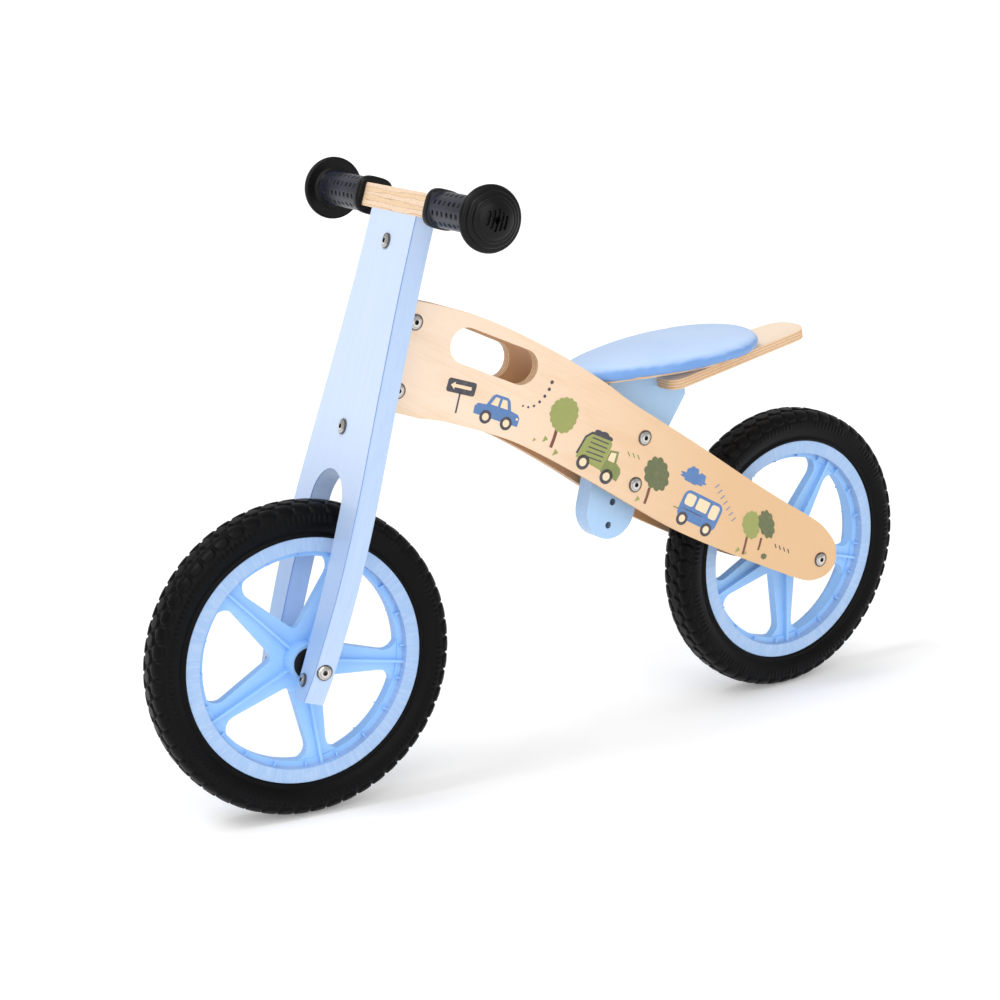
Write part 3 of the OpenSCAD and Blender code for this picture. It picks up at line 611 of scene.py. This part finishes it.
def padRing(inset, height, count=96):
    ring = []
    for i in range(count):
        a = 2 * math.pi * i / count
        ring.append((seat["shift"] + (seat["length"] / 2 - inset) * math.cos(a),
                     (seat["width"] / 2 - inset) * math.sin(a) * (1 - seat["taper"] * math.cos(a)), height))
    return ring


def padFinish():
    f = Finish("padCover")
    grain = f.node("ShaderNodeTexVoronoi", {"feature": "DISTANCE_TO_EDGE"}, {"Vector": f.local, "Scale": 900.0})
    grain = grain.calc("MINIMUM", 0.25)
    soft = f.noise(16, 3, 0.5)
    fine = f.noise(900, 3, 0.6)
    litTop = f.along(seatUp, source=f.facing).step(0.35, 0.98)
    # painted light and shade: faces turned up are lighter blue, the sides darker
    colour = nodeMix(f, litTop, tint(104, 150, 212), tint(190, 214, 248))
    colour = nodeMix(f, soft.step(0.4, 0.8) * 0.25, colour, tint(150, 192, 240))
    return f.done(colour=colour, roughness=0.40 + soft * 0.1, sheen=0.12, coat=0.12, coatRoughness=0.35,
                  normal=f.bump(grain * 0.8 + fine * 0.4, 0.10, 0.0003))


def makePad():
    t = seat["thick"]
    layers = [(0.016, 0.0), (0.0045, 0.0), (0.0012, 0.0016), (0.0002, 0.005), (0.0006, t * 0.52),
              (0.0036, t * 0.76), (0.009, t * 0.90), (0.018, t * 0.965), (0.030, t * 0.99), (0.042, t)]
    rings = [padRing(inset, height) for inset, height in layers]
    points = [seatPoint(*p) for ring in rings for p in ring]
    count = len(rings[0])
    faces = []
    for k in range(len(rings) - 1):
        for i in range(count):
            j = (i + 1) % count
            faces.append((k * count + i, k * count + j, (k + 1) * count + j, (k + 1) * count + i))
    faces.append(tuple(range(count - 1, -1, -1)))
    faces.append(tuple(range((len(rings) - 1) * count, len(rings) * count)))
    form = newPiece("padForm", points, faces, None, None)
    remesh = form.modifiers.new("even", "REMESH")
    remesh.mode = "VOXEL"
    remesh.voxel_size = seat["voxel"]
    even = bpy.data.meshes.new_from_object(form.evaluated_get(bpy.context.evaluated_depsgraph_get()))
    bpy.data.objects.remove(form)
    pad = bpy.data.objects.new("seatPadCover", even)
    bpy.context.scene.collection.objects.link(pad)
    start = [v.co.copy() for v in even.vertices]
    held = pad.vertex_groups.new(name="held")
    for v in even.vertices:
        if (v.co - seatPlace).dot(seatUp) < 0.0042:
            held.add([v.index], 1.0, "REPLACE")
    cloth = pad.modifiers.new("puff", "CLOTH")
    cloth.settings.vertex_group_mass = "held"
    cloth.settings.use_pressure = True
    cloth.settings.uniform_pressure_force = seat["pressure"]
    cloth.settings.tension_stiffness = cloth.settings.compression_stiffness = 30
    cloth.settings.bending_stiffness = 6
    cloth.settings.effector_weights.gravity = 0
    cloth.collision_settings.use_collision = False
    cloth.point_cache.frame_start, cloth.point_cache.frame_end = 1, seat["frames"]
    scene = bpy.context.scene
    for step in range(1, seat["frames"] + 1):
        scene.frame_set(step)
    puffed = pad.evaluated_get(bpy.context.evaluated_depsgraph_get()).to_mesh()
    moved = [v.co.copy() for v in puffed.vertices]
    pad.modifiers.remove(cloth)
    scene.frame_set(1)
    for v, old, new in zip(even.vertices, start, moved):
        shift = new - old
        if shift.length > seat["cap"]:
            shift *= seat["cap"] / shift.length
        v.co = old + shift
    for v in even.vertices:  # gathers where the cover is pulled under at the front
        p = v.co - seatPlace
        x, y, z = p.dot(seatWay), p.y, p.dot(seatUp)
        if z < 0.008:
            pull = 0.0005 * math.sin(x * 900) * smooth(0.008 - z, 0, 0.006) * smooth(x, 0.0, 0.04)
            v.co += Vector((0, pull * math.copysign(1, y), 0))
    even.polygons.foreach_set("use_smooth", [True] * len(even.polygons))
    relax = pad.modifiers.new("relax", "SMOOTH")
    relax.iterations = 10
    relax.factor = 0.5
    fine = pad.modifiers.new("fine", "SUBSURF")
    fine.levels = fine.render_levels = 1
    final = bpy.data.meshes.new_from_object(pad.evaluated_get(bpy.context.evaluated_depsgraph_get()))
    pad.modifiers.clear()
    pad.data = final
    final.polygons.foreach_set("use_smooth", [True] * len(final.polygons))
    final.materials.clear()
    final.materials.append(padFinish())
    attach(pad, "frame")
    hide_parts("seat_pad")


makePad()
print("seat pad done")

ink = {"blue": tint(84, 124, 178), "navy": tint(66, 66, 76), "leaf": tint(150, 156, 88), "moss": tint(98, 106, 70),
       "green": tint(126, 136, 78), "bark": tint(116, 66, 56), "cream": tint(244, 216, 180)}
lift = {"base": 0.00008, "layer": 0.00005}


def inkFinish(name, colour):
    f = Finish("ink" + name.capitalize())
    mottle = f.noise(300, 4, 0.65)
    worn = nodeMix(f, mottle.step(0.45, 0.85) * 0.14, colour, tint(226, 190, 148))
    return f.done(colour=worn, roughness=0.45 + mottle * 0.1, normal=f.bump(mottle, 0.05, 0.0002))


def disc(x, z, r, count=28):
    turns = [2 * math.pi * k / count for k in range(count)]
    return [(x + r * math.cos(a), z + r * math.sin(a)) for a in turns]


def leafy(x, z, wide, high, lobes, lean=0.0, depth=0.07, seed=0.0):
    outline = []
    for k in range(lobes * 8):
        a = 2 * math.pi * k / (lobes * 8)
        r = 1 - depth + depth * 1.6 * abs(math.sin(a * lobes / 2 + seed)) + 0.03 * math.sin(3 * a + seed)
        px, pz, c, s = wide * r * math.cos(a), high * r * math.sin(a), math.cos(lean), math.sin(lean)
        outline.append((x + px * c - pz * s, z + px * s + pz * c))
    return outline


def stroke(points, width):
    left, right = [], []
    for k, p in enumerate(points):
        a, b = points[max(k - 1, 0)], points[min(k + 1, len(points) - 1)]
        length = math.dist(a, b) or 1
        n = (-(b[1] - a[1]) / length * width / 2, (b[0] - a[0]) / length * width / 2)
        left.append((p[0] + n[0], p[1] + n[1]))
        right.append((p[0] - n[0], p[1] - n[1]))
    return left + right[::-1]


def softBox(x0, z0, x1, z1, r, count=5):
    outline = []
    for cx, cz, start in ((x1 - r, z1 - r, 0), (x0 + r, z1 - r, 90), (x0 + r, z0 + r, 180), (x1 - r, z0 + r, 270)):
        for k in range(count + 1):
            a = math.radians(start + 90 * k / count)
            outline.append((cx + r * math.cos(a), cz + r * math.sin(a)))
    return outline


def placed(outline, rearWheel, frontWheel):  # from a vehicle's own axes to the panel's side view
    (ax, az), (bx, bz) = rearWheel, frontWheel
    length = math.dist(rearWheel, frontWheel)
    ux, uz = (bx - ax) / length, (bz - az) / length
    cx, cz = (ax + bx) / 2, (az + bz) / 2
    return [(cx + u * ux + v * uz, cz + u * uz - v * ux) for u, v in outline]


def wheelPair(gap, r, where):
    shapes = []
    for u in (-gap / 2, gap / 2):
        shapes.append(("navy", 2, placed(disc(u, 0, r), *where)))
        shapes.append(("cream", 3, placed(disc(u, 0, r * 0.55), *where)))
    return shapes


def trunk(top, foot, width=3.4):
    return stroke([(top[0], top[1] + 2), ((top[0] + foot[0]) / 2, (top[1] + foot[1]) / 2), foot], width)


def pictures():
    shapes = []
    carAt = ((95.3, 336.5), (74.1, 327.5))
    body = [(-25, 0), (-26, 6.5), (-23.5, 10), (-14.5, 11), (-11, 20), (-8, 22.4), (5.5, 22.4), (8.8, 20),
            (12.5, 12), (20.5, 10.8), (23.6, 8), (24, 0)]
    shapes += [("blue", 1, placed(body, *carAt)),
               ("cream", 2, placed([(-10.4, 12.2), (-7.2, 19.8), (-2.6, 19.8), (-2.6, 12.2)], *carAt)),
               ("cream", 2, placed([(0.2, 12.2), (0.2, 19.8), (5.2, 19.8), (8.6, 12.2)], *carAt)),
               ("cream", 2, placed(disc(21.2, 6.6, 1.3, 12), *carAt))] + wheelPair(23, 6.3, carAt)
    truckAt = ((-7.5, 280.2), (-32.9, 262.7))
    bed = [(-25.5, 1), (-25, 21), (-21, 27), (1.5, 30.5), (4.5, 28), (6.5, 2)]
    shapes += [("navy", 1, placed(leafy(-9.5, 28.5, 12, 6.2, 7, 0.12, 0.12), *truckAt)),
               ("navy", 1, placed([(-27.5, 4), (-27, 22), (-22, 29), (-20, 27), (-24.5, 20), (-24.5, 4)],
                                  *truckAt)),
               ("leaf", 2, placed(bed, *truckAt)),
               ("green", 2, placed([(6.5, 1), (5.5, 23), (15, 26), (18.4, 15.4), (25.5, 13), (28, 9), (28, 1)],
                                   *truckAt)),
               ("cream", 3, placed([(7.9, 13.8), (7.4, 21.6), (13.4, 23.4), (15.6, 14.6)], *truckAt))]
    for k in range(5):
        slat = stroke([(-19 + k * 0.4, 24.2 - k * 4.6), (0.6 + k * 0.5, 27 - k * 4.4)], 1.2)
        shapes.append(("navy", 3, placed(slat, *truckAt)))
    shapes += wheelPair(30.8, 7.2, truckAt)
    busAt = ((-118.2, 209.5), (-145.7, 193.9))
    shapes += [("blue", 1, placed(softBox(-25, 0, 25, 28, 7), *busAt)),
               ("cream", 2, placed(softBox(-21.5, 13.5, -9.5, 25, 3), *busAt)),
               ("cream", 2, placed(softBox(-6.5, 13.5, 8, 25, 1.2), *busAt)),
               ("cream", 2, placed(softBox(11, 11, 21.5, 25, 3), *busAt)),
               ("navy", 2, placed(stroke([(-20, 9.6), (5, 9.6)], 0.8), *busAt)),
               ("moss", 1, placed(stroke([(-31, 7), (-25, 7)], 0.9), *busAt))] + wheelPair(31.6, 6.6, busAt)
    signAt = ((131.5, 371.0), (106.6, 362.8))
    shapes += [("navy", 1, placed(softBox(-15, -6.5, 15, 6.1, 2.4), *signAt)),
               ("cream", 2, placed([(-11.5, 0), (-7, 3.6), (-7, 1.5), (10.5, 1.5), (10.5, -1.5), (-7, -1.5),
                                    (-7, -3.6)], *signAt)),
               ("navy", 1, stroke([(120.6, 362), (125.7, 343.9)], 1.7))]
    shapes += [("leaf", 2, leafy(12.4, 327.5, 15.2, 16.6, 16, 0, 0.05)),
               ("bark", 1, trunk((20.1, 313.8), (27.1, 298.7))),
               ("moss", 2, leafy(-89.5, 257, 13, 17.2, 11, -0.4, 0.09, 0.7)),
               ("bark", 1, trunk((-81.3, 243), (-75.5, 230.2), 3)),
               ("leaf", 2, leafy(-199.6, 190.5, 10.2, 14.2, 12, -0.2, 0.06)),
               ("bark", 1, trunk((-194.6, 177.5), (-189.6, 162.4), 2.6)),
               ("moss", 3, leafy(-217.6, 188.4, 8.6, 15, 10, -0.35, 0.1, 0.4)),
               ("bark", 1, trunk((-211.6, 173.5), (-207.9, 163.8), 2.4)),
               ("moss", 1, leafy(-214.9, 156.3, 3.6, 2.8, 6, 0.3, 0.14)),
               ("blue", 1, leafy(-131, 246.6, 15.5, 4.6, 9, 0.5, 0.16)),
               ("blue", 2, leafy(-130, 251, 7.4, 7.6, 7, 0.4, 0.1)),
               ("blue", 3, leafy(-139.5, 245, 5.6, 5.4, 6, 0.2, 0.1))]
    for x, z, size in ((44.6, 308.6, 2), (33, 307.6, 3.2), (22.3, 293.4, 3.4), (-67.6, 236.2, 3), (-183.6, 168, 3),
                       (-192.5, 163.4, 2.2)):
        blade = [(x - size, z - size * 0.3), (x + size, z - size * 0.8), (x - size * 0.1, z + size)]
        shapes.append(("leaf", 1, blade))
    puffs = [(56, 341.5), (50.5, 339.6), (44.5, 340), (38.5, 343), (33, 347.6), (28.2, 353.4), (25.2, 359.6)]
    shapes += [("navy", 1, disc(x, z, 1.0 + 0.14 * k, 16)) for k, (x, z) in enumerate(puffs)]
    dashes = [("green", 3, (-57, 283.4), (-5.4, -2.3), (-2, -4.8), 1.0),
              ("navy", 4, (-228, 167), (-5.2, -2.6), (-1.6, -4.6), 1.1)]
    for shade, count, (x, z), (nextX, nextZ), (runX, runZ), width in dashes:
        for k in range(count):
            a, b = x + nextX * k, z + nextZ * k
            shapes.append((shade, 1, stroke([(a, b), (a + runX, b + runZ)], width)))
    for k in range(7):
        x, z = -158.6 - 3.3 * k, 235.5 - 6.0 * k
        shapes.append(("blue", 1, stroke([(x + 2.4, z - 1.6), (x - 2.4, z + 1.2)], 1.0)))
    return shapes


def makePrint(side, name):
    for colour in ink:
        points, faces = [], []
        for shade, layer, outline in pictures():
            if shade != colour:
                continue
            turn = sum(a[0] * b[1] - b[0] * a[1] for a, b in zip(outline, outline[1:] + outline[:1]))
            if (turn > 0) == (side > 0):
                outline = outline[::-1]
            first = len(points)
            rise = lift["base"] + lift["layer"] * layer
            points += [panelSpot(x / 1000, z / 1000, rise, side) for x, z in outline]
            faces.append(tuple(range(first, len(points))))
        newPiece(name + colour.capitalize(), points, faces, inks[colour], "frame")


inks = {name: inkFinish(name, colour) for name, colour in ink.items()}
makePrint(1, "printLeft")
makePrint(-1, "printRight")
print("print done")


def soften(names, width, angle=40):
    for name in names:
        bevel = nodes[name].modifiers.new("softEdge", "BEVEL")
        bevel.width = width
        bevel.segments = 3
        bevel.limit_method = "ANGLE"
        bevel.angle_limit = math.radians(angle)
        bevel.use_clamp_overlap = False
        bevel.harden_normals = False


soften(["side_panel_left", "side_panel_right", "seat_post", "tail_board"], 0.0007)
soften(["fork_board", "handlebar"], 0.0011)
soften(["front_rim", "rear_rim"], 0.0003)

floor = {"shade": tint(250, 250, 250), "size": 160, "light": 0.60, "glow": 0.2}
suns = [("sideSun", (1.2, -0.1, 1.9), 1.05, 22), ("frontSun", (0.7, 1.5, 1.0), 1.1, 60)]


def studio():
    f = Finish("paleFloor")
    speck = f.noise(4, 2, 0.5)
    shade = nodeMix(f, speck * 0.2, floor["shade"], tint(246, 246, 247))
    f.done(colour=shade, roughness=0.8 + speck * 0.1, glow=shade)
    f.shader.inputs["Emission Strength"].default_value = floor["glow"]
    half = floor["size"] / 2
    ground = newPiece("studioFloor", [(-half, -half, 0), (half, -half, 0), (half, half, 0), (-half, half, 0)],
                      [(0, 1, 2, 3)], f.material, None)
    ground.location.z = cadBox[0][2] - 0.0002
    world = bpy.data.worlds.new("studioSky")
    world.use_nodes = True
    world.node_tree.nodes["Background"].inputs["Color"].default_value = (1, 1, 1, 1)
    world.node_tree.nodes["Background"].inputs["Strength"].default_value = floor["light"]
    bpy.context.scene.world = world
    for name, place, power, softness in suns:
        data = bpy.data.lights.new(name, "SUN")
        data.energy, data.angle = power, math.radians(softness)
        lamp = bpy.data.objects.new(name, data)
        bpy.context.scene.collection.objects.link(lamp)
        lamp.rotation_euler = (-Vector(place)).to_track_quat("-Z", "Y").to_euler()


studio()
print("studio done")
